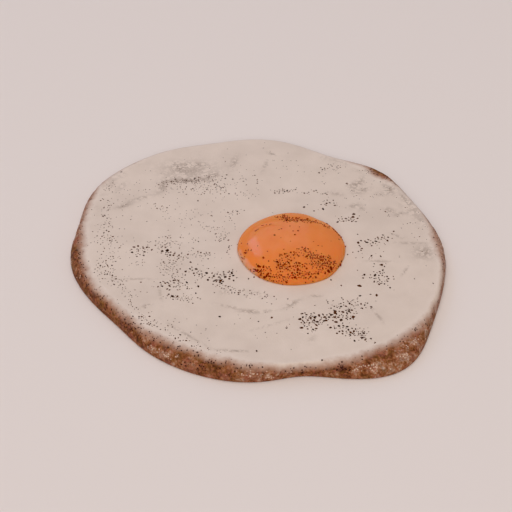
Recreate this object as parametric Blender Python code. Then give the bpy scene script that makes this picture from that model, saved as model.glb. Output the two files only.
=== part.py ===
"""A fried egg, sunny side up: a cooked white with a sloping, toasted rim, and a whole yolk set in it.

Units are metres and +Z is up. The egg lies flat on z = 0, with the origin in the middle of the
white's footprint. The yolk stands to the right of that middle and a little towards the front.
Bearings are degrees anticlockwise seen from above, with 0 along +X and 270 along -Y, the front.
"""

import math

import bmesh
import bpy
from mathutils import Vector

MM = 0.001

# The outline of the white is a round pour that bulges and dents where it ran and set.
POUR_RADIUS = 57.5 * MM
# Each lobe of the outline: its bearing, how far it reaches out (mm) and how wide it spreads (degrees).
OUTLINE_LOBES = (
    (307.5, 10.1, 17),
    (332, 2.6, 16),
    (357, 2.7, 18),
    (41, 2.1, 12),
    (62, -1.4, 11),
    (90, 3.4, 16),
    (126, 5.5, 20),
    (153, 6.5, 18),
    (185, 3.6, 16),
    (220, -1.7, 13),
    (262, 1.4, 19),
    (282, -1.4, 9),
)

# The rim: the flat top ends at a shoulder, and slopes down and out from there to a blunt edge.
SLOPE_WIDTH = 3.0 * MM
# Where the white ran thin the slope is wider, as lobes of bearing, extra width (mm) and spread (degrees).
SLOPE_LOBES = (
    (306, 5.8, 12),
    (248, 2.4, 18),
    (281, -2.0, 9),
    (336, -1.2, 12),
)
SLOPE_BULGE = 1.9  # above 1 the slope is rounded outwards
SHOULDER_HEIGHT = 5.1 * MM
EDGE_HEIGHT = 0.7 * MM
EDGE_TUCK = 0.4 * MM  # how far the foot stands back under the edge

# The yolk is a ball that has sunk into a lens, widest where it leaves the white.
YOLK_RADIUS = 17.1 * MM
YOLK_LOBES = (
    (5, 0.55, 24),
    (53, -0.5, 12),
    (122, -0.6, 24),
    (208, -0.25, 24),
    (268, 0.4, 26),
    (308, 0.85, 22),
)
YOLK_CENTRE = Vector((10.0 * MM, -6.0 * MM))
YOLK_DOME = 7.0 * MM
YOLK_BELLY = 4.2 * MM
LIP_HEIGHT = 5.6 * MM  # the white beside the yolk
POCKET_GAP = 0.3 * MM  # keeps the yolk and its pocket apart

# The top of the white isn't level: ripples of length (mm), bearing of travel, height (mm) and phase
# (degrees).
RIPPLES = (
    (74, 20, 0.22, 40),
    (51, 118, 0.16, 200),
    (37, 64, 0.10, 310),
)

SPOKES = 96
TOP_RINGS = 9
SLOPE_RINGS = 6
TUCK_RINGS = 3
UNDERSIDE_RINGS = 3
BELLY_RINGS = 7
DOME_RINGS = 8


def lobed(base, lobes, bearing):
    """A size that changes with bearing: a base, and a smooth hump or dent for each lobe."""
    size = base
    for middle, reach, spread in lobes:
        away = (bearing - middle + 180.0) % 360.0 - 180.0
        size += reach * MM * math.exp(-((away / spread) ** 2))
    return size


def heading(bearing):
    angle = math.radians(bearing)
    return Vector((math.cos(angle), math.sin(angle)))


def raised(plan_point, height):
    return Vector((plan_point.x, plan_point.y, height))


def outline_point(bearing, inset=0.0):
    """A point of the white's outermost edge, or of a line that runs inset inside it."""
    return heading(bearing) * (lobed(POUR_RADIUS, OUTLINE_LOBES, bearing) - inset)


def yolk_point(bearing, share=1.0, grown=0.0):
    """A point of the yolk's waist seen from above, or of a ring at a share of its radius."""
    radius = lobed(YOLK_RADIUS, YOLK_LOBES, bearing) + grown
    return YOLK_CENTRE + heading(bearing) * radius * share


def ripple(plan_point):
    """How far the top of the white stands above or below level here."""
    rise = 0.0
    for length, bearing, height, phase in RIPPLES:
        along = plan_point.dot(heading(bearing)) / (length * MM)
        rise += height * MM * math.sin(2.0 * math.pi * along + math.radians(phase))
    return rise


def top_ring_point(bearing, share):
    """The top of the white, from its lip at the yolk (share 0) to the shoulder of the rim (share 1)."""
    lip = yolk_point(bearing, grown=POCKET_GAP)
    shoulder = outline_point(bearing, lobed(SLOPE_WIDTH, SLOPE_LOBES, bearing))
    here = lip.lerp(shoulder, share)
    level = LIP_HEIGHT + (SHOULDER_HEIGHT - LIP_HEIGHT) * share
    return raised(here, level + ripple(here) * math.sin(math.pi * share))


def slope_ring_point(bearing, share):
    """The sloping rim, from the shoulder (share 0) out and down to the edge (share 1)."""
    width = lobed(SLOPE_WIDTH, SLOPE_LOBES, bearing)
    fall = (1.0 - share**SLOPE_BULGE) ** (1.0 / SLOPE_BULGE)
    height = EDGE_HEIGHT + (SHOULDER_HEIGHT - EDGE_HEIGHT) * fall
    return raised(outline_point(bearing, width * (1.0 - share)), height)


def tuck_ring_point(bearing, share):
    """The rounded underside of the rim, from the edge (share 0) back to the foot (share 1)."""
    turn = share * math.pi / 2.0
    inset = EDGE_TUCK * (1.0 - math.cos(turn))
    return raised(outline_point(bearing, inset), EDGE_HEIGHT * (1.0 - math.sin(turn)))


def underside_ring_point(bearing, share):
    """The flat underside, from the foot (share 0) in towards the yolk's middle (share 1)."""
    return raised(outline_point(bearing, EDGE_TUCK).lerp(YOLK_CENTRE, share), 0.0)


def lens_ring_point(bearing, turn, depth, grown=0.0):
    """A ring of the yolk's rounded surface, or of the pocket that is grown round it.

    turn goes from 0 at the waist to 1 at the pole. depth is the height of that pole above the
    waist, and below the waist it is negative.
    """
    angle = turn * math.pi / 2.0
    pole = depth + math.copysign(grown, depth)
    height = LIP_HEIGHT + pole * math.sin(angle)
    return raised(yolk_point(bearing, math.cos(angle), grown), height)


def shares(count, start=0, stop=None):
    """Evenly spaced shares of 1, for the rings numbered start to stop of count."""
    return [i / count for i in range(start, count + 1 if stop is None else stop)]


def ring(point_at, *place):
    """One closed ring of points, a point for each spoke."""
    return [point_at(360.0 * spoke / SPOKES, *place) for spoke in range(SPOKES)]


def skin_over(name, first_pole, rings, last_pole):
    """A closed skin that runs from one pole, over the rings in turn, to the other pole."""
    skin = bmesh.new()
    loops = [[skin.verts.new(point) for point in points] for points in rings]
    for near, far in zip(loops, loops[1:]):
        for i in range(SPOKES):
            skin.faces.new((near[i - 1], near[i], far[i], far[i - 1]))
    for pole, loop in ((first_pole, loops[0]), (last_pole, loops[-1])):
        tip = skin.verts.new(pole)
        for i in range(SPOKES):
            skin.faces.new((tip, loop[i], loop[i - 1]))
    bmesh.ops.recalc_face_normals(skin, faces=skin.faces)
    mesh = bpy.data.meshes.new(name)
    skin.to_mesh(mesh)
    skin.free()
    mesh.shade_smooth()
    mesh.set_sharp_from_angle(angle=math.radians(50.0))
    return mesh


def white_mesh():
    """The white: pocket for the yolk, top, sloping rim, tucked edge and flat underside."""
    rings = [ring(lens_ring_point, turn, -YOLK_BELLY, POCKET_GAP) for turn in shares(BELLY_RINGS)]
    pocket = rings[-2::-1]  # the last ring has shrunk to the pole, so it is left out
    top = [ring(top_ring_point, share) for share in shares(TOP_RINGS, start=1)]
    slope = [ring(slope_ring_point, share) for share in shares(SLOPE_RINGS, start=1)]
    tuck = [ring(tuck_ring_point, share) for share in shares(TUCK_RINGS, start=1)]
    underside = [
        ring(underside_ring_point, share)
        for share in shares(UNDERSIDE_RINGS, start=1, stop=UNDERSIDE_RINGS)
    ]
    pocket_floor = raised(YOLK_CENTRE, LIP_HEIGHT - YOLK_BELLY - POCKET_GAP)
    return skin_over(
        "white", pocket_floor, pocket + top + slope + tuck + underside, raised(YOLK_CENTRE, 0.0)
    )


def yolk_mesh():
    """The yolk: a belly that sits in the white's pocket, and a dome that stands above it."""
    belly = [
        ring(lens_ring_point, turn, -YOLK_BELLY)
        for turn in shares(BELLY_RINGS, start=1, stop=BELLY_RINGS)
    ]
    dome = [ring(lens_ring_point, turn, YOLK_DOME) for turn in shares(DOME_RINGS, stop=DOME_RINGS)]
    return skin_over(
        "yolk",
        raised(YOLK_CENTRE, LIP_HEIGHT - YOLK_BELLY),
        belly[::-1] + dome,
        raised(YOLK_CENTRE, LIP_HEIGHT + YOLK_DOME),
    )


def finish(name, colour, roughness):
    """A plain non-metallic material."""
    material = bpy.data.materials.new(name)
    material.use_nodes = True
    shader = material.node_tree.nodes["Principled BSDF"]
    shader.inputs["Base Color"].default_value = (*colour, 1.0)
    shader.inputs["Roughness"].default_value = roughness
    shader.inputs["Metallic"].default_value = 0.0
    return material


def footprint_middle():
    """The middle of the white's outline, which the egg is moved by to put it on the origin."""
    edge = ring(outline_point)
    return Vector(
        [(min(p[axis] for p in edge) + max(p[axis] for p in edge)) / 2.0 for axis in range(2)]
    )


def build():
    for leftover in list(bpy.data.objects):
        bpy.data.objects.remove(leftover)
    egg = bpy.data.objects.new("egg", None)
    bpy.context.scene.collection.objects.link(egg)
    egg.location = raised(-footprint_middle(), 0.0)
    pieces = (
        ("white", white_mesh(), finish("cooked white", (0.62, 0.50, 0.42), 0.5)),
        ("yolk", yolk_mesh(), finish("soft yolk", (0.66, 0.18, 0.04), 0.3)),
    )
    for name, mesh, material in pieces:
        mesh.materials.append(material)
        piece = bpy.data.objects.new(name, mesh)
        piece.parent = egg
        bpy.context.scene.collection.objects.link(piece)


build()
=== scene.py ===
"""The looks of a fried egg, sunny side up: the cooked white, its toasted rim, the yolk and the pepper.

Sizes here are in millimetres, and lay_mesh() turns them to metres. Bearings are degrees
anticlockwise seen from above, with 0 along +X and 270 along -Y, the front of the egg.
"""

import math
import random

import bpy
import numpy as np
from mathutils import Matrix, Vector, noise
from mathutils.bvhtree import BVHTree


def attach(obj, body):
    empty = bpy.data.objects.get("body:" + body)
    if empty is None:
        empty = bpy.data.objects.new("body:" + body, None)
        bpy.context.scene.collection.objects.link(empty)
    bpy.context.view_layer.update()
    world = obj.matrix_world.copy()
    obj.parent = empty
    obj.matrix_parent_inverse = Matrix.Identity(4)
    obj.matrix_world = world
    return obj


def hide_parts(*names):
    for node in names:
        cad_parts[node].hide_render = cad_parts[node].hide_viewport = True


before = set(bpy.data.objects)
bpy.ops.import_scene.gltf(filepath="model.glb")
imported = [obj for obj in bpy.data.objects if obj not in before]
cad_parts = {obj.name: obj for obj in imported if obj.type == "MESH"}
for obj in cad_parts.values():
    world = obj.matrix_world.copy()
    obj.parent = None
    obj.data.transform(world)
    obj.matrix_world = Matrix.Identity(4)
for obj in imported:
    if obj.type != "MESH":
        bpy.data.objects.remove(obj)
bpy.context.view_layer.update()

MM = 0.001

# ---------------------------------------------------------------- the pour, as the solids have it

POUR_RADIUS = 57.5
# The lobes of the white's outline: bearing, reach outwards and spread in degrees.
OUTLINE_LOBES = (
    (307.5, 10.1, 17),
    (332, 2.6, 16),
    (357, 2.7, 18),
    (41, 2.1, 12),
    (62, -1.4, 11),
    (90, 3.4, 16),
    (126, 5.5, 20),
    (153, 6.5, 18),
    (185, 3.6, 16),
    (220, -1.7, 13),
    (262, 1.4, 19),
    (282, -1.4, 9),
)
SLOPE_WIDTH = 3.0
# Where the white ran thin its rim slopes wider: bearing, extra width and spread in degrees.
SLOPE_LOBES = (
    (306, 5.8, 12),
    (248, 2.4, 18),
    (281, -2.0, 9),
    (336, -1.2, 12),
)
SLOPE_BULGE = 1.9
SHOULDER_HEIGHT = 5.1
EDGE_HEIGHT = 0.7
EDGE_TUCK = 0.4
RIPPLES = ((74, 20, 0.22, 40), (51, 118, 0.16, 200), (37, 64, 0.10, 310))

YOLK_RADIUS = 17.1
YOLK_LOBES = (
    (5, 0.55, 24),
    (53, -0.5, 12),
    (122, -0.6, 24),
    (208, -0.25, 24),
    (268, 0.4, 26),
    (308, 0.85, 22),
)
YOLK_IN_POUR = np.array([10.0, -6.0])  # the yolk's middle, from the middle of the pour
YOLK_DOME = 7.0
YOLK_BELLY = 4.2
LIP_HEIGHT = 5.6

yolk_tip = max(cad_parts["yolk"].data.vertices, key=lambda corner: corner.co.z).co / MM
YOLK_MIDDLE = np.array([yolk_tip.x, yolk_tip.y])
POUR_MIDDLE = YOLK_MIDDLE - YOLK_IN_POUR
# Scuffs and pepper are placed from here, a point just beside the middle of the pour.
MARKS_FROM = POUR_MIDDLE + np.array([-0.84, 0.74])

# ---------------------------------------------------------------- finer shape of the real surface

SPOKES = 720  # 0.5 mm apart at the rim
TOP_RINGS = 60
SLOPE_RINGS = 24
TUCK_RINGS = 6
UNDERSIDE_RINGS = 12
POCKET_RINGS = 5
YOLK_SPOKES = 180
DOME_RINGS = 36

YOLK_CLING = 0.1  # how far the white overlaps the yolk, so that no gap shows
MENISCUS_HEIGHT = 0.2  # the white climbs the yolk's side
MENISCUS_WIDTH = 0.6


def lobed(base, lobes, bearing):
    """A size that changes with bearing: a base, and a smooth hump or dent for each lobe."""
    size = np.full_like(bearing, base)
    for middle, reach, spread in lobes:
        away = (bearing - middle + 180.0) % 360.0 - 180.0
        size = size + reach * np.exp(-((away / spread) ** 2))
    return size


def heading(bearing):
    angle = np.radians(bearing)
    return np.stack([np.cos(angle), np.sin(angle)], axis=-1)


def raised(plan, height):
    """Plan points set at a height, which is one number or one for each point."""
    return np.concatenate([plan, np.broadcast_to(height, plan.shape[:-1])[..., None]], axis=-1)


def smooth_step(low, high, value):
    """0 below low, 1 above high, and a smooth rise between."""
    t = np.clip((value - low) / (high - low), 0.0, 1.0)
    return t * t * (3.0 - 2.0 * t)


def bearings(count):
    return np.arange(count) * 360.0 / count


def outline(bearing, inset=0.0):
    reach = lobed(POUR_RADIUS, OUTLINE_LOBES, bearing) - inset
    return POUR_MIDDLE + heading(bearing) * reach[..., None]


def slope_width(bearing):
    return lobed(SLOPE_WIDTH, SLOPE_LOBES, bearing)


def yolk_edge(bearing, share=1.0, grown=0.0):
    reach = (lobed(YOLK_RADIUS, YOLK_LOBES, bearing) + grown) * share
    return YOLK_MIDDLE + heading(bearing) * reach[..., None]


def ripple(plan):
    rise = np.zeros(plan.shape[:-1])
    for length, bearing, height, phase in RIPPLES:
        along = (plan - POUR_MIDDLE) @ heading(np.float64(bearing)) / length
        rise += height * np.sin(2.0 * np.pi * along + math.radians(phase))
    return rise


def grain(points, size, offset=0.0):
    """Perlin noise over the points, about size millimetres from one lump to the next."""
    return np.array([noise.noise(Vector(p) / size + Vector((offset, offset, 0.0))) for p in points])


def lens_rings(shares, depth, grown, bearing):
    """Rings of the yolk's rounded surface, from the waist (share 0) towards the pole (share 1)."""
    rings = []
    for share in shares:
        angle = share * math.pi / 2.0
        height = LIP_HEIGHT + (depth + math.copysign(grown, depth)) * math.sin(angle)
        rings.append(raised(yolk_edge(bearing, math.cos(angle), grown), height))
    return rings


def top_rings(bearing):
    """The top of the white, from its lip at the yolk out to the shoulder of the rim."""
    lip = yolk_edge(bearing, grown=-YOLK_CLING)
    shoulder = outline(bearing, slope_width(bearing))
    rings = []
    for share in np.arange(TOP_RINGS + 1) / TOP_RINGS:
        plan = lip + (shoulder - lip) * share
        from_yolk = np.linalg.norm(plan - lip, axis=-1)
        climb = MENISCUS_HEIGHT * np.exp(-from_yolk / MENISCUS_WIDTH)
        level = LIP_HEIGHT + (SHOULDER_HEIGHT - LIP_HEIGHT) * share
        rings.append(raised(plan, level + ripple(plan) * math.sin(math.pi * share) + climb))
    return rings


def slope_rings(bearing):
    """The toasted rim, from the shoulder out and down to the edge."""
    width = slope_width(bearing)
    rings = []
    for share in np.arange(1, SLOPE_RINGS + 1) / SLOPE_RINGS:
        fall = (1.0 - share**SLOPE_BULGE) ** (1.0 / SLOPE_BULGE)
        height = EDGE_HEIGHT + (SHOULDER_HEIGHT - EDGE_HEIGHT) * fall
        rings.append(raised(outline(bearing, width * (1.0 - share)), height))
    return rings


def tuck_rings(bearing):
    """The rounded underside of the rim, from the edge back to the foot."""
    rings = []
    for share in np.arange(1, TUCK_RINGS + 1) / TUCK_RINGS:
        turn = share * math.pi / 2.0
        inset = EDGE_TUCK * (1.0 - math.cos(turn))
        rings.append(raised(outline(bearing, inset), EDGE_HEIGHT * (1.0 - math.sin(turn))))
    return rings


def underside_rings(bearing):
    foot = outline(bearing, EDGE_TUCK)
    shares = np.arange(1, UNDERSIDE_RINGS) / UNDERSIDE_RINGS
    return [raised(foot + (YOLK_MIDDLE - foot) * share, 0.0) for share in shares]


def closed_skin(first_pole, rings, last_pole):
    """Points and faces of a closed skin from one pole, over the rings in turn, to the other."""
    spokes = len(rings[0])
    points = np.concatenate([*rings, [first_pole], [last_pole]])
    here = np.arange(spokes)
    back = (here - 1) % spokes
    faces = []
    for row in range(len(rings) - 1):
        near = row * spokes
        far = near + spokes
        faces += np.stack([near + back, near + here, far + here, far + back], axis=1).tolist()
    first = len(rings) * spokes
    last_ring = first - spokes
    faces += [(first, int(i), int(j)) for i, j in zip(here, back)]
    faces += [(first + 1, int(last_ring + j), int(last_ring + i)) for i, j in zip(here, back)]
    return points, faces


def lay_mesh(name, points, faces, material):
    """A smooth-shaded object in the frame, from points in millimetres."""
    mesh = bpy.data.meshes.new(name)
    mesh.from_pydata((np.asarray(points) * MM).tolist(), [], faces)
    mesh.shade_smooth()
    mesh.materials.append(material)
    piece = bpy.data.objects.new(name, mesh)
    bpy.context.scene.collection.objects.link(piece)
    return piece


def note_on_points(piece, name, values):
    """Stores one number for each point, which the finish reads."""
    mesh = piece.data
    mesh.attributes.new(name, "FLOAT", "POINT").data.foreach_set("value", values.astype(np.float32))


def push_out(piece, lift):
    """Moves each point along the surface normal by its lift in millimetres."""
    mesh = piece.data
    normals = np.zeros(len(mesh.vertices) * 3, np.float32)
    places = np.zeros(len(mesh.vertices) * 3, np.float32)
    mesh.vertex_normals.foreach_get("vector", normals)
    mesh.vertices.foreach_get("co", places)
    places += normals * np.repeat(lift * MM, 3).astype(np.float32)
    mesh.vertices.foreach_set("co", places)
    mesh.update()


# ---------------------------------------------------------------- finishes

def linear(code, alpha=1.0):
    """An sRGB hex value, such as D8C4B8, as linear red, green, blue and alpha."""
    shares = [int(code[i : i + 2], 16) / 255.0 for i in (0, 2, 4)]
    return (*[s / 12.92 if s <= 0.04045 else ((s + 0.055) / 1.055) ** 2.4 for s in shares], alpha)


def per_metre(size):
    """The scale of a pattern whose features are size millimetres apart."""
    return 1.0 / (size * MM)


def add(tree, kind, inputs=None, stops=None, **settings):
    """Adds a node with its settings, its ramp's stops, and each input's value or feeding socket."""
    made = tree.nodes.new(kind)
    for name, value in settings.items():
        setattr(made, name, value)
    for key, value in (inputs or {}).items():
        if isinstance(value, bpy.types.NodeSocket):
            tree.links.new(value, made.inputs[key])
        else:
            made.inputs[key].default_value = value
    if stops:
        ramp = made.color_ramp
        while len(ramp.elements) < len(stops):
            ramp.elements.new(0.5)
        for element, (position, code) in zip(ramp.elements, stops):
            element.position = position
            element.color = linear(code)
    return made


def blank_finish(name):
    """A new material with an empty node tree, and its output node."""
    finish = bpy.data.materials.new(name)
    finish.use_nodes = True
    finish.node_tree.nodes.clear()
    return finish, finish.node_tree, add(finish.node_tree, "ShaderNodeOutputMaterial")


def spread(tree, value, start, stop, low=0.0, high=1.0):
    """Carries a value from one range to another, with soft ends, and returns its socket."""
    return add(
        tree,
        "ShaderNodeMapRange",
        {"Value": value, "From Min": start, "From Max": stop, "To Min": low, "To Max": high},
        interpolation_type="SMOOTHSTEP",
    ).outputs["Result"]


def blended(tree, share, under, over):
    """The colour under, with the colour over laid on it by a share, as a socket."""
    return add(
        tree, "ShaderNodeMix", {0: share, 6: under, 7: over}, data_type="RGBA"
    ).outputs[2]


def pan_fried_albumen():
    """Set egg white: a cloudy protein gel, satin where it set in the air, and toasted brown and dry
    where it met the hot fat. The eye gets a pale even body and a matt, mottled, crumbly crust."""
    finish, tree, output = blank_finish("pan_fried_albumen")
    place = add(tree, "ShaderNodeTexCoord").outputs["Object"]
    past_edge = add(tree, "ShaderNodeAttribute", attribute_name="past_edge").outputs["Fac"]
    scuffed = add(tree, "ShaderNodeAttribute", attribute_name="scuffed").outputs["Fac"]
    scorched = add(tree, "ShaderNodeAttribute", attribute_name="scorched").outputs["Fac"]
    crumbed = add(tree, "ShaderNodeAttribute", attribute_name="crumbed").outputs["Fac"]
    toasted = add(tree, "ShaderNodeAttribute", attribute_name="toasted").outputs["Fac"]
    oiled = add(tree, "ShaderNodeAttribute", attribute_name="oiled").outputs["Fac"]

    # The gel clouds unevenly as it sets, in patches about 9 mm across.
    cloud = add(
        tree, "ShaderNodeTexNoise", {"Vector": place, "Scale": per_metre(9.0), "Detail": 3.0}
    )
    gel = add(
        tree,
        "ShaderNodeValToRGB",
        {"Fac": cloud.outputs["Fac"]},
        stops=[(0.30, "D4C0B2"), (0.50, "D9C5B7"), (0.70, "DDC9BB")],
    ).outputs["Color"]

    # Grey-brown fond from the pan clings in scuffs: flakes about 1.1 mm across, and threads where
    # the skin of the white has wrinkled, which wander every 3 mm or so.
    flakes = add(
        tree,
        "ShaderNodeTexNoise",
        {"Vector": place, "Scale": per_metre(1.1), "Detail": 4.0, "Roughness": 0.65},
    ).outputs["Fac"]
    wander = add(
        tree,
        "ShaderNodeTexNoise",
        {"Vector": place, "Scale": per_metre(3.0), "Detail": 3.0, "Roughness": 0.6},
    ).outputs["Fac"]
    off_thread = add(
        tree, "ShaderNodeMath", {0: wander, 1: 0.5}, operation="SUBTRACT"
    ).outputs["Value"]
    off_thread = add(
        tree, "ShaderNodeMath", {0: off_thread}, operation="ABSOLUTE"
    ).outputs["Value"]
    thread = spread(tree, off_thread, 0.08, 0.02)
    patchy = add(
        tree,
        "ShaderNodeMath",
        {0: spread(tree, flakes, 0.48, 0.60, high=0.85), 1: thread},
        operation="MAXIMUM",
    ).outputs["Value"]
    scuff = add(
        tree, "ShaderNodeMath", {0: scuffed, 1: patchy}, operation="MULTIPLY"
    ).outputs["Value"]
    gel = blended(tree, scuff, gel, linear("7E6858"))

    # Just inside the browning the white is painted paler: a painted highlight where the rounded shoulder turns
    # towards the lamps.
    painted_shoulder_light = add(
        tree,
        "ShaderNodeMath",
        {0: spread(tree, past_edge, -3.2, -1.0), 1: spread(tree, cloud.outputs["Fac"], 0.3, 0.7, 0.3, 0.6)},
        operation="MULTIPLY",
    ).outputs["Value"]
    gel = blended(tree, painted_shoulder_light, gel, linear("E1CDC0"))

    # The crust is mottled in lumps about 2 mm across and grit of 0.6 mm, from dark to tan.
    lumps = add(
        tree,
        "ShaderNodeTexNoise",
        {"Vector": place, "Scale": per_metre(2.2), "Detail": 3.0, "Roughness": 0.6},
    ).outputs["Fac"]
    grit = add(
        tree, "ShaderNodeTexNoise", {"Vector": place, "Scale": per_metre(0.6), "Detail": 2.0}
    ).outputs["Fac"]
    toast = add(
        tree, "ShaderNodeMath", {0: toasted, 1: -0.14, 2: lumps}, operation="MULTIPLY_ADD"
    ).outputs["Value"]
    toast = add(
        tree, "ShaderNodeMath", {0: grit, 1: 0.6, 2: toast}, operation="MULTIPLY_ADD"
    ).outputs["Value"]
    toast = add(tree, "ShaderNodeMath", {0: toast, 1: 0.30}, operation="SUBTRACT").outputs["Value"]
    crust = add(
        tree,
        "ShaderNodeValToRGB",
        {"Fac": toast},
        stops=[
            (0.28, "4C240F"),
            (0.40, "733F20"),
            (0.51, "8E5430"),
            (0.62, "A47050"),
            (0.74, "B48E78"),
            (0.90, "C2A99E"),
        ],
    ).outputs["Color"]
    # Where fat pooled the crust is olive brown, and where it ran dry it is a pinker red brown.
    patches = add(
        tree, "ShaderNodeTexNoise", {"Vector": place, "Scale": per_metre(3.5), "Detail": 3.0}
    ).outputs["Fac"]
    patches = add(
        tree, "ShaderNodeMath", {0: oiled, 1: -0.13, 2: patches}, operation="MULTIPLY_ADD"
    ).outputs["Value"]
    crust = blended(tree, spread(tree, patches, 0.50, 0.64, high=0.45), crust, linear("985F4E"))
    crust = blended(tree, spread(tree, patches, 0.60, 0.76, high=0.5), crust, linear("8A402C"))
    crust = blended(tree, spread(tree, patches, 0.48, 0.36, high=0.5), crust, linear("724A24"))
    crust = blended(tree, spread(tree, patches, 0.36, 0.22, high=0.5), crust, linear("84581E"))
    crust = blended(tree, spread(tree, crumbed, 0.15, 0.6, high=0.5), crust, linear("A4745E"))

    # Crumbs and scorched bits, each about 0.5 mm, are cells of one cellular pattern.
    cells = add(
        tree, "ShaderNodeTexVoronoi", {"Vector": place, "Scale": per_metre(0.5), "Randomness": 1.0}
    )
    dice = add(tree, "ShaderNodeSeparateColor", {"Color": cells.outputs["Color"]})
    crumb = add(
        tree, "ShaderNodeMath", {0: dice.outputs["Red"], 1: crumbed}, operation="ADD"
    ).outputs["Value"]
    crumb = add(
        tree,
        "ShaderNodeMath",
        {
            0: spread(tree, crumb, 1.0, 1.1),
            1: spread(tree, cells.outputs["Distance"], 0.65, 0.3, high=0.75),
        },
        operation="MULTIPLY",
    ).outputs["Value"]
    crust = blended(tree, spread(tree, dice.outputs["Red"], 0.7, 0.95, high=0.45), crust, linear("A8604C"))
    crust = blended(tree, spread(tree, dice.outputs["Green"], 0.3, 0.05, high=0.4), crust, linear("78501E"))
    crust = blended(tree, crumb, crust, linear("DFC2AC"))
    crust = blended(tree, spread(tree, dice.outputs["Blue"], 0.6, 0.9, high=0.35), crust, linear("47200F"))
    bit = add(
        tree, "ShaderNodeMath", {0: dice.outputs["Green"], 1: scorched}, operation="ADD"
    ).outputs["Value"]
    scorch = add(
        tree,
        "ShaderNodeMath",
        {0: spread(tree, bit, 1.0, 1.1), 1: spread(tree, cells.outputs["Distance"], 0.7, 0.35)},
        operation="MULTIPLY",
    ).outputs["Value"]

    # From gel to crust the colour goes through a dull pinkish tan.
    browning = add(
        tree,
        "ShaderNodeMath",
        {0: flakes, 1: 1.6, 2: past_edge},
        operation="MULTIPLY_ADD",
    ).outputs["Value"]
    colour = blended(tree, spread(tree, browning, -0.8, 2.1), gel, linear("AF8A77"))
    colour = blended(tree, spread(tree, browning, 1.1, 3.4), colour, crust)
    colour = blended(tree, scorch, colour, linear("3A160A"))

    fine = add(
        tree,
        "ShaderNodeTexNoise",
        {"Vector": place, "Scale": per_metre(0.45), "Detail": 3.0},
    )
    bump = add(
        tree,
        "ShaderNodeBump",
        {"Strength": 0.35, "Distance": 0.15 * MM, "Height": fine.outputs["Fac"]},
    )
    shader = add(
        tree,
        "ShaderNodeBsdfPrincipled",
        {
            "Base Color": colour,
            "Roughness": spread(tree, past_edge, -0.5, 1.5, 0.5, 0.65),
            "IOR": 1.38,
            "Specular IOR Level": spread(tree, past_edge, -0.5, 1.5, 0.5, 0.15),
            "Normal": bump.outputs["Normal"],
        },
    )
    tree.links.new(shader.outputs["BSDF"], output.inputs["Surface"])
    return finish


def yolk_under_membrane():
    """Barely set yolk under its stretched membrane: a smooth, moist, wet-looking orange skin, with
    painted light low down its sides: a brighter, purer orange standing in for light glowing through the yolk."""
    finish, tree, output = blank_finish("yolk_under_membrane")
    place = add(tree, "ShaderNodeTexCoord").outputs["Object"]
    film_and_painted_reflection = add(tree, "ShaderNodeAttribute", attribute_name="film_and_painted_reflection").outputs["Fac"]
    painted_low_glow = add(tree, "ShaderNodeAttribute", attribute_name="painted_low_glow").outputs["Fac"]
    # The yolk sets in soft patches about 6 mm across.
    patches = add(
        tree, "ShaderNodeTexNoise", {"Vector": place, "Scale": per_metre(6.0), "Detail": 2.0}
    )
    colour = add(
        tree,
        "ShaderNodeValToRGB",
        {"Fac": patches.outputs["Fac"]},
        stops=[(0.30, "E4803A"), (0.50, "E6853F"), (0.70, "E88A46")],
    ).outputs["Color"]
    # Low down its sides the yolk is painted a brighter, purer orange: painted light, the glow of light scattered
    # through the yolk.
    colour = blended(tree, painted_low_glow, colour, linear("EC8436"))
    # A milky, pinkish film is painted over the membrane in places: partly a film of set white, partly a painted
    # reflection of the white and floor low on the lower left side.
    fine = add(
        tree, "ShaderNodeTexNoise", {"Vector": place, "Scale": per_metre(1.5), "Detail": 2.0}
    ).outputs["Fac"]
    film_and_reflection_share = add(
        tree, "ShaderNodeMath", {0: film_and_painted_reflection, 1: spread(tree, fine, 0.3, 0.6, 0.6)}, operation="MULTIPLY"
    ).outputs["Value"]
    colour = blended(tree, film_and_reflection_share, colour, linear("E8A684"))
    bump = add(tree, "ShaderNodeBump", {"Strength": 0.1, "Distance": 0.06 * MM, "Height": fine})
    # The membrane is finely wrinkled, so it mirrors less at a glancing angle than a liquid would.
    glance = add(tree, "ShaderNodeLayerWeight", {"Blend": 0.5}).outputs["Facing"]
    shader = add(
        tree,
        "ShaderNodeBsdfPrincipled",
        {
            "Base Color": colour,
            "Roughness": 0.16,
            "IOR": 1.42,
            "Specular IOR Level": spread(tree, glance, 0.38, 0.66, 0.5, 0.06),
            "Subsurface Weight": 1.0,
            "Subsurface Radius": (1.0, 0.4, 0.12),
            "Subsurface Scale": 3.0 * MM,
            "Normal": bump.outputs["Normal"],
        },
    )
    tree.links.new(shader.outputs["BSDF"], output.inputs["Surface"])
    return finish


def cracked_pepper(name, husk, heart):
    """Cracked black pepper: dry wrinkled husk, dark brown, broken to show a paler heart."""
    finish, tree, output = blank_finish(name)
    place = add(tree, "ShaderNodeTexCoord").outputs["Object"]
    roast = add(tree, "ShaderNodeAttribute", attribute_name="roast").outputs["Fac"]
    colour = add(tree, "ShaderNodeValToRGB", {"Fac": roast}, stops=[(0.0, husk), (1.0, heart)])
    wrinkles = add(
        tree, "ShaderNodeTexNoise", {"Vector": place, "Scale": per_metre(0.2), "Detail": 2.0}
    )
    bump = add(
        tree,
        "ShaderNodeBump",
        {"Strength": 0.5, "Distance": 0.05 * MM, "Height": wrinkles.outputs["Fac"]},
    )
    shader = add(
        tree,
        "ShaderNodeBsdfPrincipled",
        {
            "Base Color": colour.outputs["Color"],
            "Roughness": 0.9,
            "Specular IOR Level": 0.0,
            "Normal": bump.outputs["Normal"],
        },
    )
    tree.links.new(shader.outputs["BSDF"], output.inputs["Surface"])
    return finish


# ---------------------------------------------------------------- the cooked white

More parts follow.
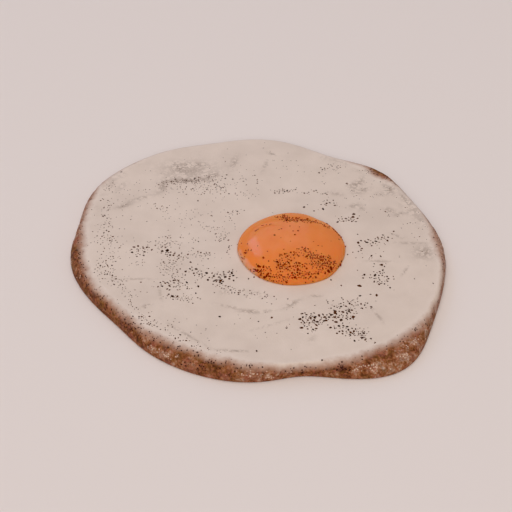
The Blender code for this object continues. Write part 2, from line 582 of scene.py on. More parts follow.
# How far beyond the shoulder the browning starts: bearing, extra distance and spread.
BROWNING_START = 0.6
BROWNING_LOBES = (
    (186, -2.5, 11),
    (177, -0.1, 5),
    (162, -0.6, 9),
    (105, 1.5, 35),
    (75, 1.0, 20),
    (41.5, -3.4, 6.5),
    (24, 1.6, 9),
    (2, -1.4, 5),
    (355, -0.9, 4),
    (343, 0.3, 8),
    (332, 0.9, 9),
    (306, 0.7, 12),
    (279, 1.3, 12),
    (274, -0.5, 5),
    (234, 0.4, 5),
    (222, 0.4, 5),
    (254, 0.3, 8),
)
# How the crust changes round the rim: bearing, strength and spread in degrees.
TOAST_LOBES = (
    (41, 0.1, 8),
    (150, -1.6, 10),
    (168, -2.0, 9),
    (190, 0.2, 8),
    (205, 0.3, 8),
    (225, 0.3, 10),
    (308, -0.5, 10),
    (318, -0.3, 8),
    (334, -1.7, 8),
    (347, -1.7, 8),
    (0, -1.8, 8),
)
# Patches of the rim: bearing, distance out from the shoulder, half length in degrees, half width,
# strength. Toasted patches are darker, or paler below 0.
TOASTED = (
    (42, 1.5, 5, 1.5, 0.5),
    (171, 2.5, 2.5, 1.5, 0.8),
    (175, 3.0, 2, 1, 1.0),
    (181.5, 1.8, 1.5, 0.8, 0.4),
    (180, 1.4, 3, 1.2, -0.6),
    (188, 0.8, 5, 1.6, 0.8),
    (192, 0.5, 2, 0.6, 0.8),
    (188.5, 4.0, 1.5, 0.8, -1.2),
    (193, 3.0, 1.5, 1, -1.0),
    (199, 4.4, 4, 1.0, 0.8),
    (208, 4.0, 2.5, 1.2, 0.8),
    (214, 2.2, 3, 0.8, -0.5),
    (222, 2.0, 2.5, 1.0, 0.9),
    (224, 4.2, 1.5, 0.8, -0.6),
    (205, 4.9, 2.2, 0.7, -1.0),
    (213.5, 3.5, 1.5, 0.7, 0.9),
    (222.5, 2.6, 1, 0.7, 1.3),
    (224, 4.0, 2.5, 1, 0.7),
    (230, 4.3, 1.6, 0.8, 0.9),
    (233, 3.0, 2, 1, -1.1),
    (236, 1.0, 5, 0.9, -0.4),
    (244.5, 3.2, 2, 1.1, 0.8),
    (250, 1.4, 4, 0.8, -0.5),
    (239, 5.2, 4, 1.2, -0.9),
    (253.5, 5.0, 2, 1.8, 0.8),
    (252.5, 3.6, 1.5, 1.0, 0.7),
    (257, 3.0, 1.8, 1.1, 0.8),
    (256, 4.4, 1.5, 1.2, -0.5),
    (260, 1.4, 2, 0.8, -0.6),
    (260.5, 4.0, 1.8, 1.4, 0.7),
    (268, 2.6, 2, 1.0, 0.5),
    (262.5, 4.5, 1.2, 0.8, 0.6),
    (268, 4.2, 4, 1.2, -0.7),
    (273, 3.7, 2.5, 1.2, -1.1),
    (275, 4.7, 2, 0.4, 1.0),
    (280, 2.6, 2.5, 1.2, -0.8),
    (282.5, 3.7, 1.6, 0.6, 0.8),
    (292, 3.9, 1.8, 1, 1.4),
    (299, 5.0, 2.5, 1, 0.6),
    (308, 5.4, 2, 1.4, 0.6),
    (296, 5.0, 1.6, 1.2, -0.6),
    (300, 7.0, 2, 1.6, -0.9),
    (304.5, 4.5, 4.5, 1, 0.6),
    (308, 7.0, 1.4, 1.2, -0.8),
    (311, 6.5, 1.2, 1, -0.7),
    (314.5, 4.2, 1.2, 0.8, -0.8),
    (313.5, 6.5, 1.5, 1.3, 0.1),
    (327.5, 4.2, 1.4, 0.9, 1.2),
    (320.5, 5.0, 3, 1.5, -0.9),
    (332.5, 3.5, 1, 1.2, 0.8),
    (336, 3.6, 9, 1.6, -0.5),
    (339, 2.8, 2, 1, 0.7),
    (335, 1.6, 8, 1, -0.5),
)
# Olive brown where fat pooled, or redder below 0 where it ran dry.
OILED = (
    (189, 3.5, 3.5, 1.6, 1.0),
    (42.5, 1.0, 2.5, 1.5, 1.0),
    (37, 2.0, 2.5, 1.5, -0.6),
    (154, 2.5, 1.2, 2.5, -1.2),
    (186, 1.0, 6, 2, 0.7),
    (194.5, 3.2, 1.5, 1.2, -0.4),
    (202, 3.0, 2, 1, -0.6),
    (206.5, 4.0, 2, 1, 0.6),
    (211, 2.5, 2, 1, 0.8),
    (210.5, 5.0, 3, 0.7, -0.8),
    (217.5, 3.6, 2, 1.2, 1.1),
    (221, 2.0, 1.3, 0.7, -1.2),
    (226, 4.3, 2, 0.9, 1.0),
    (228.5, 5.2, 1.5, 0.6, -1.2),
    (237, 3.8, 3, 1.3, -0.5),
    (180, 1.5, 4, 1.3, -0.5),
    (232.5, 5.5, 1, 0.6, 0.9),
    (232, 1.8, 5, 1.1, 0.7),
    (243.5, 3.4, 1.5, 0.8, -0.8),
    (246, 5.0, 1.5, 0.8, 0.6),
    (248.5, 4.2, 1, 0.6, -0.8),
    (253, 4.5, 2.5, 1.6, -0.8),
    (261, 3.6, 2.5, 1.6, 0.5),
    (267, 4.0, 3, 1.2, -0.7),
    (275, 2.8, 1.3, 1, -1.0),
    (286.5, 4.0, 2.5, 1.2, 0.6),
    (294.5, 2.6, 2, 0.8, -0.7),
    (304, 7.0, 1, 0.7, 2.0),
    (302, 8.5, 1.3, 0.8, 0.9),
    (303.8, 9.0, 0.8, 0.5, -1.5),
    (300, 6.8, 1.8, 1.4, -0.5),
    (310.8, 6.4, 0.8, 0.9, -0.6),
    (324, 1.6, 1.6, 0.7, 1.0),
    (326.5, 3.2, 1.6, 1, -0.8),
    (327, 1.2, 1.4, 0.6, -1.0),
    (340, 3.0, 1, 0.8, -1.2),
    (345, 2.5, 3, 1.5, 0.2),
    (334, 3.2, 9, 1.6, -0.7),
)
# Pale crumbs.
CRUMBS = (
    (178, 3.5, 2.5, 1.3, 0.55),
    (187.5, 4.2, 1, 0.6, 0.5),
    (197, 2.4, 3, 1.3, 0.35),
    (205, 4.9, 2, 0.6, 0.55),
    (236, 1.0, 5, 0.9, 0.25),
    (237, 5.0, 1.6, 0.7, 0.75),
    (241.5, 5.5, 1.8, 0.8, 0.75),
    (245.5, 4.0, 0.7, 0.6, 0.6),
    (267.5, 4.0, 2.5, 1, 0.45),
    (272.5, 3.9, 1.8, 0.8, 0.6),
    (279, 3.6, 1.5, 0.5, 0.25),
    (296.5, 5.0, 1.3, 1, 0.45),
    (300.5, 6.8, 1.5, 1.5, 0.6),
    (303.8, 9.0, 0.9, 0.4, 0.7),
    (308.5, 7.0, 1.2, 1.2, 0.7),
    (311, 5.0, 1, 0.8, 0.3),
    (314.8, 4.3, 1, 0.7, 0.8),
    (318.5, 5.4, 1, 0.5, 0.5),
)
# Scorched bits.
SCORCHED = (
    (40, 1.5, 5, 2, 0.4),
    (187, 3.0, 2, 1.2, 0.3),
    (191.5, 0.6, 2, 0.5, 0.5),
    (206.5, 2.2, 2, 0.6, 0.4),
    (210, 1.2, 2, 0.5, 0.3),
    (197.5, 1.8, 1.2, 0.5, 0.6),
    (201.5, 2.8, 1.2, 0.6, 0.6),
    (213, 3.5, 1.6, 0.7, 0.6),
    (218.5, 2.2, 1.4, 0.8, 0.65),
    (222.8, 2.5, 0.8, 0.6, 0.85),
    (224.5, 4.5, 2, 0.8, 0.5),
    (228.5, 2.5, 2.2, 0.6, 0.55),
    (238, 1.3, 6, 0.9, 0.15),
    (230.3, 4.2, 1.2, 0.6, 0.85),
    (232.5, 5.6, 1.6, 0.4, 0.5),
    (244.6, 2.0, 0.4, 0.4, 0.8),
    (248.3, 5.4, 1.2, 0.7, 0.45),
    (251.5, 2.0, 1.5, 0.7, 0.35),
    (253.5, 5.5, 1.3, 1.2, 0.4),
    (256.7, 2.5, 1.3, 0.6, 0.6),
    (258.2, 4.2, 0.8, 0.6, 0.5),
    (265, 5.7, 0.8, 0.5, 0.6),
    (267, 1.2, 1.2, 0.4, 0.35),
    (275.5, 4.5, 1.6, 0.3, 0.5),
    (282.3, 3.6, 0.7, 0.4, 0.6),
    (291.8, 3.6, 1.4, 1, 0.9),
    (293.8, 4.9, 0.6, 0.8, 0.85),
    (317.5, 1.3, 1.6, 0.7, 0.45),
    (327.8, 4.5, 0.9, 0.6, 0.45),
    (332.8, 3.5, 0.5, 1.2, 0.5),
    (337.7, 1.8, 1.2, 0.5, 0.3),
)

# Scuffs on the top: across (X), back (Y), half length, half width, the bearing it lies along, strength.
SCUFFS = (
    (-24, 38, 9, 5.5, 0, 0.45),
    (-24, 31.5, 7, 1.2, 3, 0.85),
    (-28, 40, 3, 1.6, 120, 0.5),
    (-22, 41.5, 4, 1.0, 0, 0.5),
    (-32.5, 28, 4, 1.5, 75, 0.6),
    (-15, 34.5, 2.5, 1.5, 20, 0.5),
    (-40, 21, 4.5, 1.0, 28, 0.5),
    (-45, 17, 3, 1.0, 30, 0.5),
    (-47, 28, 3, 1.0, 60, 0.4),
    (-8, 42.5, 4, 1.3, 78, 0.5),
    (5.5, 48, 1.6, 0.7, -30, 0.6),
    (3, 40.5, 4, 0.6, 75, 0.4),
    (36, 30.5, 3.5, 1.5, 65, 0.5),
    (33.5, 29.5, 2.0, 1.2, 20, 0.4),
    (34, 25.5, 3, 1.5, -60, 0.4),
    (37.5, 26.5, 2.0, 1.2, 30, 0.45),
    (27.5, 24, 2.5, 1.0, -20, 0.35),
    (46, 26.5, 3, 1.4, 60, 0.6),
    (42.5, 24, 1.6, 1.2, 0, 0.35),
    (51.5, 20, 4, 1.5, -65, 0.6),
    (54, 15, 2.5, 1.4, -70, 0.55),
    (55.5, 9, 3.5, 1.2, -75, 0.6),
    (51, 14, 1.6, 1.0, 10, 0.4),
    (45, 14.5, 2.2, 1.2, -45, 0.5),
    (48, 12.5, 2.0, 0.9, 30, 0.4),
    (33, 17, 2.2, 1.2, 30, 0.5),
    (35.5, 15.5, 1.8, 1.0, 70, 0.4),
    (46, 0.5, 2.5, 0.6, -30, 0.4),
    (54, -7.5, 3.5, 3, 30, 0.55),
    (50, -3, 5, 0.6, 0, 0.4),
    (46.5, -16.5, 2.5, 0.4, 60, 0.5),
    (39, -12.3, 4, 0.6, 0, 0.4),
    (-8, -33.3, 4, 0.5, -18, 0.45),
    (-2, -35.4, 3, 0.8, -5, 0.6),
    (3.5, -35.2, 1.8, 0.5, 5, 0.4),
    (10.5, -32.4, 3, 0.8, 35, 0.6),
    (18, -28.8, 1.8, 0.6, 5, 0.5),
    (0.5, -28, 3, 1.2, -20, 0.3),
    (-10, -26.5, 1.8, 1.2, 60, 0.3),
    (4, -41, 6, 0.4, 20, 0.3),
    (16, -47, 2.0, 1.0, 60, 0.25),
    (-38, -20.5, 7, 0.4, 0, 0.4),
    (-29.3, -28, 4, 0.4, -80, 0.4),
    (-33, -32.5, 1.8, 0.7, 35, 0.5),
    (-21, -44.5, 7, 0.4, -38, 0.6),
    (-7, -51.5, 5, 0.35, -3, 0.7),
    (36, -37, 3, 0.5, -65, 0.5),
)


# Where grey dust from the pan clings just inside the rim: bearing, share and spread.
DUST_LOBES = (
    (20, 0.30, 14),
    (32, 0.9, 5),
    (49, 0.55, 4),
    (58, 0.20, 10),
    (150, 0.30, 14),
)


def smeared(plan, marks):
    """How far soft oval marks cover each plan point, from 0 to 1."""
    clean = np.ones(len(plan))
    for across, back, length, width, lie, strength in marks:
        away = plan - np.array([across, back])
        along = away @ heading(np.float64(lie)) / length
        aside = away @ heading(np.float64(lie + 90)) / width
        clean *= 1.0 - strength * np.exp(-(along**2 + aside**2))
    return 1.0 - clean


def patched(bearing, out, patches):
    """The sum of soft patches of the rim, at points given by bearing and distance out."""
    total = np.zeros(len(out))
    for middle, distance, length, width, strength in patches:
        along = ((bearing - middle + 180.0) % 360.0 - 180.0) / length
        total += strength * np.exp(-(along**2) - ((out - distance) / width) ** 2)
    return total


def cook_white(finish):
    bearing = bearings(SPOKES)
    belly_shares = np.arange(1, POCKET_RINGS) / POCKET_RINGS
    pocket = lens_rings(belly_shares, -YOLK_BELLY, -YOLK_CLING, bearing)[::-1]
    top = top_rings(bearing)
    slope = slope_rings(bearing)
    tuck = tuck_rings(bearing)
    underside = underside_rings(bearing)
    rings = [*pocket, *top, *slope, *tuck, *underside]
    points, faces = closed_skin(
        [*YOLK_MIDDLE, LIP_HEIGHT - YOLK_BELLY + YOLK_CLING], rings, [*YOLK_MIDDLE, 0.0]
    )
    white = lay_mesh("cooked_white", points, faces, finish)

    # How far out from the shoulder each point lies, over the surface: below 0 on the top.
    width = slope_width(bearing)
    shoulder = outline(bearing, width)
    under_from = len(pocket) + len(top) + len(slope) + len(tuck)
    out = np.full(len(points), 50.0)
    walked = np.zeros(SPOKES)
    last = raised(shoulder, SHOULDER_HEIGHT)
    for number, ring in enumerate(rings[:under_from]):
        here = slice(number * SPOKES, (number + 1) * SPOKES)
        if number < len(pocket) + len(top):
            out[here] = -np.linalg.norm(ring[:, :2] - shoulder, axis=-1)
            continue
        walked = walked + np.linalg.norm(ring - last, axis=-1)
        last = ring
        out[here] = walked
    all_bearings = np.concatenate([np.tile(bearing, len(rings)), [0.0, 0.0]])
    wander = 0.8 * grain(points, 6.0) + 0.5 * grain(points, 1.8, 7.0)
    past_edge = out - lobed(BROWNING_START, BROWNING_LOBES, all_bearings) + wander
    note_on_points(white, "past_edge", past_edge)
    # The patches have ragged borders, because their places are jolted by up to half a millimetre.
    ragged = out + 0.9 * grain(points, 1.6, 3.0)
    shifted = all_bearings + 0.9 * grain(points, 1.6, 21.0)
    toasted = lobed(0.0, TOAST_LOBES, all_bearings) + patched(shifted, ragged, TOASTED)
    note_on_points(white, "toasted", toasted)
    note_on_points(white, "oiled", patched(shifted, ragged, OILED))
    note_on_points(white, "crumbed", 0.04 + patched(shifted, ragged, CRUMBS))
    trail = 0.12 * smooth_step(-0.4, 1.0, past_edge) * smooth_step(3.2, 1.6, past_edge)
    scorched = (0.05 + patched(shifted, ragged, SCORCHED)) * smooth_step(-1.6, 0.6, past_edge)
    note_on_points(white, "scorched", scorched + trail)
    dust = lobed(0.0, DUST_LOBES, all_bearings) * smooth_step(-6.0, -1.0, out)
    dust = dust * smooth_step(-0.25, 0.35, grain(points, 3.5, 13.0))
    scuffed = 1.0 - (1.0 - smeared(points[:, :2] - MARKS_FROM, SCUFFS)) * (1.0 - dust)
    note_on_points(white, "scuffed", scuffed * smooth_step(0.5, -1.5, past_edge))

    on_top = smooth_step(0.0, 2.0, points[:, 2])
    lift = 0.07 * grain(points, 11.0, 5.0) + 0.03 * grain(points, 3.0, 9.0)
    blister = np.clip(grain(points, 2.2, 2.0), 0.0, 1.0) * 0.28 + 0.10 * grain(points, 0.9, 4.0)
    push_out(white, (lift + blister * smooth_step(0.0, 2.0, past_edge)) * on_top)
    return white


# Films of set white over the yolk, partly painted reflection of the white and floor, from the yolk's
# middle: across, back, half length, half width, the bearing it lies along, strength.
FILMS_AND_PAINTED_REFLECTIONS = (
    (-16.3, -4.2, 2.6, 0.9, -78, 1.0),
    (-14.4, -8.1, 2.8, 0.85, -60, 1.0),
    (-12.1, -11.6, 2.4, 0.75, -47, 0.9),
    (6.0, 12.0, 1.3, 0.8, 150, 0.3),
    (13.8, 5.9, 2.6, 0.9, -58, 0.45),
)


def set_yolk(finish):
    bearing = bearings(YOLK_SPOKES)
    belly_shares = np.arange(1, POCKET_RINGS + 3) / (POCKET_RINGS + 3)
    belly = lens_rings(belly_shares, -YOLK_BELLY, 0.0, bearing)[::-1]
    dome = lens_rings(np.arange(DOME_RINGS) / DOME_RINGS, YOLK_DOME, 0.0, bearing)
    points, faces = closed_skin(
        [*YOLK_MIDDLE, LIP_HEIGHT - YOLK_BELLY],
        [*belly, *dome],
        [*YOLK_MIDDLE, LIP_HEIGHT + YOLK_DOME],
    )
    yolk = lay_mesh("set_yolk", points, faces, finish)
    # The membrane is drawn into a shallow fold round a flat spot at the back left.
    from_spot = points[:, :2] - (YOLK_MIDDLE + np.array([-6.5, -0.5]))
    reach = np.linalg.norm(from_spot, axis=1)
    turn = np.degrees(np.arctan2(from_spot[:, 1], from_spot[:, 0]))
    fold = np.exp(-(((reach - 6.0) / 0.7) ** 2)) * smooth_step(25.0, 60.0, turn) * smooth_step(175.0, 150.0, turn)
    above = smooth_step(LIP_HEIGHT + 0.5, LIP_HEIGHT + 2.0, points[:, 2])
    # Painted light: marks the lower sides for the painted glow of brighter, purer orange.
    note_on_points(yolk, "painted_low_glow", smooth_step(LIP_HEIGHT + 5.5, LIP_HEIGHT + 1.0, points[:, 2]))
    # Partly a film of set white, partly painted reflection of the white and floor on the lower left side.
    film_and_painted_reflection = smeared(points[:, :2] - YOLK_MIDDLE, FILMS_AND_PAINTED_REFLECTIONS)
    note_on_points(yolk, "film_and_painted_reflection", smooth_step(0.25, 0.6, film_and_painted_reflection) * film_and_painted_reflection)
    push_out(yolk, (0.12 * grain(points, 9.0, 1.0) - 0.16 * fold) * above)
    return yolk


# ---------------------------------------------------------------- pepper

# Pinches of pepper on the white: across (X), back (Y), half spread along, half spread aside, the
# bearing it lies along, grains, and the size of its coarser grains.
PINCHES = (
    (-24, 31, 7, 1.2, 3, 70, 0.6),
    (-21, 26.5, 9, 3, 0, 70, 0.5),
    (-15, 34, 3, 1.2, 10, 14, 0.6),
    (-13, 26, 2.5, 3.5, 0, 26, 0.55),
    (-5, 22, 5, 1.5, 0, 16, 0.45),
    (-5, 32, 1.2, 1.4, 0, 8, 0.65),
    (0, 30.5, 3, 1, 100, 7, 0.6),
    (-51, 28, 3, 1.5, 80, 16, 0.55),
    (-50.5, 16, 5, 1.3, 95, 22, 0.55),
    (-50, 7, 3, 2.2, 90, 18, 0.55),
    (-33, 16, 3.5, 1.2, -35, 16, 0.5),
    (-20, 10, 8, 4, 0, 30, 0.35),
    (-8, 12.5, 3.5, 1.8, 20, 16, 0.6),
    (-15, 4.5, 3.5, 1.5, -20, 14, 0.4),
    (-11.5, 0, 2.2, 1.6, 90, 24, 0.65),
    (-49, -1, 5, 3.5, -25, 44, 0.55),
    (-47.5, -15.5, 5.5, 2.6, 95, 58, 0.6),
    (-41.5, -23.5, 6, 1.8, -50, 34, 0.45),
    (-37, -32, 6, 1.0, -65, 22, 0.45),
    (-30.5, -40.5, 5.5, 1.8, -38, 34, 0.5),
    (-18, -49, 6, 1.2, -28, 22, 0.5),
    (-37.5, -7, 3.2, 1.9, 70, 26, 0.75),
    (-29.5, -3, 3.5, 3, 0, 46, 0.6),
    (-28.5, -8, 2.2, 0.9, -45, 14, 1.0),
    (-23.5, -9.8, 2.2, 1.2, -20, 13, 0.8),
    (-17, -9, 4.5, 1.8, -10, 26, 0.65),
    (-20, -1, 5, 1.2, 0, 10, 0.5),
    (-27.5, -15, 5, 2.6, 95, 60, 0.55),
    (-18, -18.2, 3, 1.2, -30, 22, 0.95),
    (-11, -19.5, 2.6, 2, 20, 30, 0.85),
    (-11.2, -21.5, 1.1, 0.8, 70, 7, 1.4),
    (-8, -17.5, 1.0, 0.6, 50, 6, 1.2),
    (-9, -24.5, 4, 1, -30, 16, 0.6),
    (-2.5, -27.8, 6.5, 1.6, -12, 40, 0.5),
    (-24.5, -23.5, 4.5, 2, -10, 48, 0.7),
    (-26, -28.2, 1.4, 0.5, -10, 4, 1.1),
    (-22.5, -29.5, 3.2, 1.2, -8, 38, 0.5),
    (-9, -6.5, 1.8, 0.7, 80, 7, 0.7),
    (15.5, -39.7, 2.6, 1.8, 80, 34, 0.95),
    (19, -39.5, 3, 1.4, 15, 20, 0.9),
    (21.5, -37.5, 2, 1, 20, 14, 0.9),
    (25, -37, 2, 1.8, 80, 22, 1.1),
    (28, -37, 2.2, 1.3, 45, 12, 0.8),
    (29, -32.5, 5, 1.8, 5, 46, 0.7),
    (26.5, -44, 3.2, 1.9, -10, 34, 0.85),
    (30.5, -46, 3.6, 1.8, -25, 22, 0.7),
    (38, -18.8, 2.6, 2.2, -20, 32, 0.9),
    (38.5, -22.3, 2.6, 0.8, -5, 9, 0.7),
    (31.6, -24.2, 0.9, 0.3, 75, 4, 1.3),
    (33, -28.3, 3, 0.5, 10, 3, 1.0),
    (40.5, -1.3, 3.2, 1.4, 25, 20, 0.85),
    (33, -5.5, 3.5, 1.2, 65, 10, 0.85),
    (37.5, -10.5, 3, 0.8, 10, 5, 0.85),
    (29.5, 8.8, 2.6, 1.6, 5, 17, 0.75),
    (32.5, 9.5, 1.4, 1.3, -50, 11, 0.9),
    (23.5, 18, 1.8, 1.6, 20, 9, 0.9),
    (25.8, 20.4, 0.5, 0.4, 0, 3, 1.2),
    (23.2, 24, 0.8, 0.4, 0, 4, 1.1),
    (9, 25, 3.5, 1.1, 5, 22, 0.7),
    (17, 24.3, 3.5, 1, 10, 8, 0.7),
    (27, 38.5, 3.5, 2.4, 20, 24, 0.55),
    (39, 37.5, 2, 1, -30, 16, 0.5),
    (44.5, 13.5, 1.8, 0.9, 80, 6, 0.6),
)
# Fine pepper dust strewn widely, in the same order.
FINE_DUST = (
    (-24, -14, 16, 12, 0, 60, 0.34),
    (-44, -12, 6, 16, 10, 45, 0.36),
    (-46, 18, 7, 14, -15, 45, 0.34),
    (-22, 28, 15, 10, 0, 55, 0.36),
    (-14, 8, 14, 8, 0, 30, 0.34),
    (-24, -42, 14, 6, -30, 30, 0.36),
    (2, -40, 12, 8, 0, 24, 0.34),
    (28, -41, 9, 7, 0, 24, 0.36),
    (38, -12, 6, 14, 0, 24, 0.36),
    (52, 6, 4, 16, 10, 30, 0.36),
    (34, 26, 12, 8, -30, 45, 0.36),
    (2, 38, 16, 10, 0, 35, 0.34),
    (20, 20, 12, 6, 0, 14, 0.36),
)
# Lone coarse grains on the white: across, back, size.
LONE_GRAINS = (
    (-11, -37.4, 0.8), (4.5, -38, 1.0), (0, -51.5, 0.9), (18.5, -55.3, 0.7), (0.5, -39.5, 0.6),
    (8.7, -42.3, 0.8), (2.5, -44, 0.5), (-35.8, -22, 0.7), (16, 15.8, 1.1), (19.3, 13.7, 0.8),
    (45, 3, 0.8), (33, 1, 0.7), (49, -20.3, 0.7), (54.5, -22.5, 0.6), (41, -24.5, 0.8),
    (33, -20.3, 0.8), (29, -9.3, 0.7), (26, -24, 0.8), (23, -21.5, 0.8), (31.5, 30, 0.9),
    (-48, 37, 0.8), (-36.5, 8.5, 0.6), (-20, 19.5, 0.8), (-0.8, -20.2, 0.9), (-2.5, -21, 0.8),
)
# Pinches on the yolk, from the yolk's middle.
YOLK_PINCHES = (
    (-1.7, 8.8, 1.3, 2.2, 0, 34, 0.5),
    (1.8, 7.8, 2.4, 1.5, -20, 34, 0.5),
    (5, 8, 1, 0.8, 0, 11, 0.55),
    (8.3, 7.3, 2.4, 0.8, -10, 16, 0.45),
    (11.5, 6.2, 1.5, 0.6, -30, 7, 0.4),
    (-4.2, 10, 1, 0.8, 0, 6, 0.4),
    (-10.8, 3.6, 1.2, 0.5, 60, 5, 0.35),
    (-7.5, 5.6, 1.5, 0.5, 0, 6, 0.35),
    (14.9, 4.6, 2.4, 0.4, -50, 18, 0.65),
    (15.6, 0.8, 0.5, 0.3, 0, 2, 0.7),
    (-13.5, -4.8, 1.6, 0.9, 0, 6, 0.6),
    (-15.2, -6, 1.4, 0.4, -65, 6, 0.45),
    (-9.9, -13.2, 2.2, 0.8, -35, 36, 0.8),
    (-10.6, -12.6, 1.4, 0.6, -35, 14, 0.9),
    (-4.8, -15.8, 3, 0.7, -10, 42, 0.65),
    (-1.4, -16.4, 2.4, 0.5, 0, 16, 0.6),
    (3.2, -15.7, 2.2, 0.8, -5, 32, 0.65),
    (6.8, -14.6, 2.4, 0.7, 20, 18, 0.6),
    (10.3, -13.2, 0.9, 0.5, 0, 5, 0.6),
    (-6.8, -13.4, 1.3, 0.5, -25, 6, 0.7),
    (-4.2, -13.6, 0.8, 1, 0, 8, 0.7),
    (-1.2, -13.5, 2.4, 1.2, -15, 34, 0.65),
    (1.6, -13.3, 0.6, 1, 0, 6, 0.6),
    (3.7, -13.2, 1.2, 0.7, -25, 10, 0.75),
    (-5.2, -11.4, 1.8, 0.6, -20, 8, 0.45),
    (-1.5, -10.4, 2.2, 1.6, 0, 18, 0.55),
    (1, -9.2, 0.8, 0.9, 0, 5, 0.6),
    (4.5, -9.1, 2.6, 1.5, -15, 34, 0.5),
    (7.8, -9.9, 2.4, 0.9, -12, 24, 0.45),
    (11.3, -9.2, 2.6, 1, 0, 24, 0.45),
    (8.1, -12.2, 2.4, 0.9, -8, 26, 0.55),
    (11.5, -10.9, 2, 1.3, 10, 32, 0.6),
    (15.3, -8, 1.2, 0.3, 60, 16, 1.1),
    (12.1, -12.1, 1, 0.2, 40, 7, 1.2),
)
# Lone grains on the yolk: across, back, size.
LONE_YOLK_GRAINS = (
    (-5.2, -0.9, 0.6), (1.2, -1, 0.6), (2.3, 1, 0.6), (0.7, 0.8, 0.4), (2.8, 3.1, 0.4),
    (-0.2, 3.5, 0.4), (-3, 2.1, 0.5), (-3.7, 1.8, 0.4), (-3.2, -2.3, 0.3), (-0.3, -4.1, 0.3),
    (7, -3.6, 0.3), (8.4, -5.1, 0.4), (9.6, -5, 0.4), (12.7, -1.6, 0.3), (-14.3, -5.3, 0.8),
    (-15.6, -0.2, 0.4), (-13.7, -2.1, 0.4), (-10.5, -4.5, 0.4), (-8.7, -9.5, 0.8), (-7.5, -7.5, 0.4),
    (-2.4, -7.4, 0.4), (-8.6, -12, 0.3),
)
SUNK = 0.3  # share of a grain's size that is below the surface
FINEST = 0.36  # the finest grain that is drawn
COARSEST = 1.5
CLEARANCE = 0.5  # grains are at least this share of their two sizes apart


def grain_shape(rng, size, facets):
    """Points and faces of one cracked grain: a ball of flat facets, jolted, drawn out and flattened."""
    points, faces = facets
    stretch = np.array([rng.uniform(0.9, 1.3), rng.uniform(0.75, 1.0), rng.uniform(0.5, 0.8)])
    jolt = np.array([[rng.uniform(0.78, 1.18)] for _ in points])
    return points * jolt * stretch * size / 2.0, faces


def ball_of_facets():
    """Points and triangles of a twelve-cornered ball of radius 1."""
    gold = (1.0 + math.sqrt(5.0)) / 2.0
    corners = []
    for a in (-1.0, 1.0):
        for b in (-gold, gold):
            corners += [(0.0, a, b), (a, b, 0.0), (b, 0.0, a)]
    points = np.array(corners) / math.hypot(1.0, gold)
    side = min(np.linalg.norm(points[0] - p) for p in points[1:])
    faces = []
    for i in range(12):
        for j in range(i + 1, 12):
            for k in range(j + 1, 12):
                apart = [np.linalg.norm(points[m] - points[n]) for m, n in ((i, j), (j, k), (i, k))]
                if max(apart) > side * 1.01:
                    continue
                outward = np.dot(np.cross(points[j] - points[i], points[k] - points[i]), points[i])
                faces.append((i, j, k) if outward > 0.0 else (i, k, j))
    return points, faces


def scatter(name, places, under, finish, seed):
    """One piece that holds every grain, each dropped on to the surface under it.

    places are (across, back, size), and under is the surface's object.
    """
    rng = random.Random(seed)
    facets = ball_of_facets()
    surface = BVHTree.FromObject(under, bpy.context.evaluated_depsgraph_get())
    points, faces, roast = [], [], []
    for across, back, size in places:
        hit, normal, _, _ = surface.ray_cast(Vector((across * MM, back * MM, 0.1)), Vector((0, 0, -1)))
        if hit is None:
            continue
        shape, triangles = grain_shape(rng, size, facets)
        turn = Matrix.Rotation(rng.uniform(0.0, math.tau), 3, "Z")
        tip = normal.to_track_quat("Z", "Y").to_matrix()
        turned = shape @ np.array(tip @ turn).T
        middle = np.array(hit) / MM + np.array(normal) * size * (0.5 - SUNK) * 0.6
        first = len(points)
        points += (turned + middle).tolist()
        faces += [tuple(first + corner for corner in face) for face in triangles]
        roast += [rng.random()] * len(shape)
    piece = lay_mesh(name, points, faces, finish)
    piece.data.shade_flat()
    note_on_points(piece, "roast", np.array(roast))
    return piece


def pinch_places(pinches, lone, middle, scale, loose, seed):
    """Where every grain falls, and its size. Grains of a pinch lie side by side, not in a heap.

    loose is how far the grains stray, as a share of the pinch's half spreads.
    """
    rng = random.Random(seed)
    places = [(across + middle[0], back + middle[1], size) for across, back, size in lone]
    for across, back, length, width, lie, grains, coarse in pinches:
        along, aside = heading(np.float64(lie)), heading(np.float64(lie + 90))
        kept = []
        for _ in range(grains * 4):
            step = along * rng.gauss(0.0, length * loose) + aside * rng.gauss(0.0, width * loose)
            size = coarse * scale * (0.45 + 0.75 * rng.random() ** 1.8)
            size = min(max(size, FINEST), COARSEST)
            spot = (across + middle[0] + step[0], back + middle[1] + step[1], size)
            if all(math.dist(spot[:2], k[:2]) > (size + k[2]) * CLEARANCE for k in kept):
                kept.append(spot)
            if len(kept) == grains:
                break
        places += kept
    return places


# ---------------------------------------------------------------- studio

CAMERA_ELEVATION = 40.0
CAMERA_LENS = 70.0
CAMERA_DISTANCE = 325.3
CAMERA_TARGET = (*(MARKS_FROM + np.array([-0.2, -3.3])), 0.0)


def stand_camera():
    """A camera in front of the egg that looks down at it by CAMERA_ELEVATION degrees."""
    lens = bpy.data.cameras.new("camera")
    lens.lens = CAMERA_LENS
    lens.sensor_width = 36.0
    lens.clip_start = 0.01
    camera = bpy.data.objects.new("camera", lens)
    angle = math.radians(CAMERA_ELEVATION)
    back = Vector((0.0, -math.cos(angle), math.sin(angle)))
    camera.location = (Vector(CAMERA_TARGET) + back * CAMERA_DISTANCE) * MM
    camera.rotation_euler = back.to_track_quat("Z", "Y").to_euler()
    bpy.context.scene.collection.objects.link(camera)
    bpy.context.scene.camera = camera


def lay_floor():
    """A plain matt floor, much wider than the view."""
    finish, tree, output = blank_finish("matt_paper_sweep")
    shader = add(
        tree,
        "ShaderNodeBsdfPrincipled",
        {"Base Color": linear("E5D8D2"), "Roughness": 0.9, "Specular IOR Level": 0.2},
    )
    tree.links.new(shader.outputs["BSDF"], output.inputs["Surface"])
    reach = 4000.0
    corners = [(-reach, -reach, 0), (reach, -reach, 0), (reach, reach, 0), (-reach, reach, 0)]
    floor = lay_mesh("floor", corners, [(0, 1, 2, 3)], finish)


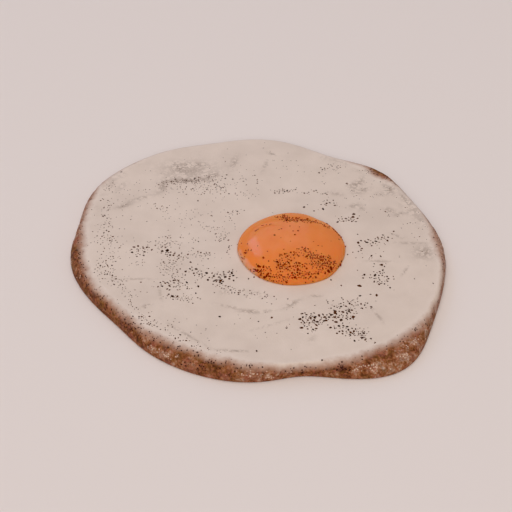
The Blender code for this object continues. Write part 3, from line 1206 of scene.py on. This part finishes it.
def softbox(name, direction, distance, size, power, colour, roll=0.0, mirrored=True):
    """A flat soft light that faces the egg from a direction, turned in its own plane by roll."""
    light = bpy.data.lights.new(name, "AREA")
    light.shape = "RECTANGLE"
    light.size, light.size_y = size
    light.energy = power
    light.color = linear(colour)[:3]
    lamp = bpy.data.objects.new(name, light)
    way = Vector(direction).normalized()
    lamp.location = way * distance
    facing = way.to_track_quat("Z", "Y").to_matrix() @ Matrix.Rotation(math.radians(roll), 3, "Z")
    lamp.rotation_euler = facing.to_euler()
    lamp.visible_glossy = mirrored
    bpy.context.scene.collection.objects.link(lamp)


def light_studio():
    world = bpy.data.worlds.new("studio")
    world.use_nodes = True
    sky = world.node_tree.nodes["Background"]
    sky.inputs["Color"].default_value = linear("FFFFFF")
    sky.inputs["Strength"].default_value = 0.30
    bpy.context.scene.world = world
    softbox("overhead", (0.0, 0.0, 1.0), 3.0, (2.6, 2.6), 28.0, "FFFBF6", mirrored=False)
    softbox("fill", (-0.1, -0.77, 0.63), 3.0, (2.4, 1.6), 42.0, "FFFBF6", mirrored=False)
    softbox("window", (-0.55, 0.56, 0.62), 3.0, (1.7, 0.85), 9.5, "B0C8FF", roll=54.0)
    softbox("far_window", (-0.14, 0.78, 0.62), 3.0, (2.2, 2.2), 8.0, "E6E6FF")


view = bpy.context.scene.view_settings
view.view_transform = "Standard"
stand_camera()
lay_floor()
light_studio()

white = cook_white(pan_fried_albumen())
yolk = set_yolk(yolk_under_membrane())
pepper_on_white = scatter(
    "pepper_on_white",
    pinch_places([*PINCHES, *FINE_DUST], LONE_GRAINS, MARKS_FROM, 1.2, 0.68, 11),
    white,
    cracked_pepper("cracked_pepper", "2A1608", "5A3014"),
    5,
)
pepper_on_yolk = scatter(
    "pepper_on_yolk",
    pinch_places(YOLK_PINCHES, LONE_YOLK_GRAINS, YOLK_MIDDLE, 1.08, 0.6, 23),
    yolk,
    cracked_pepper("pepper_stained_by_yolk", "661600", "982E00"),
    6,
)

for piece in (white, yolk, pepper_on_white, pepper_on_yolk):
    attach(piece, "root")
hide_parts("white")
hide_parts("yolk")
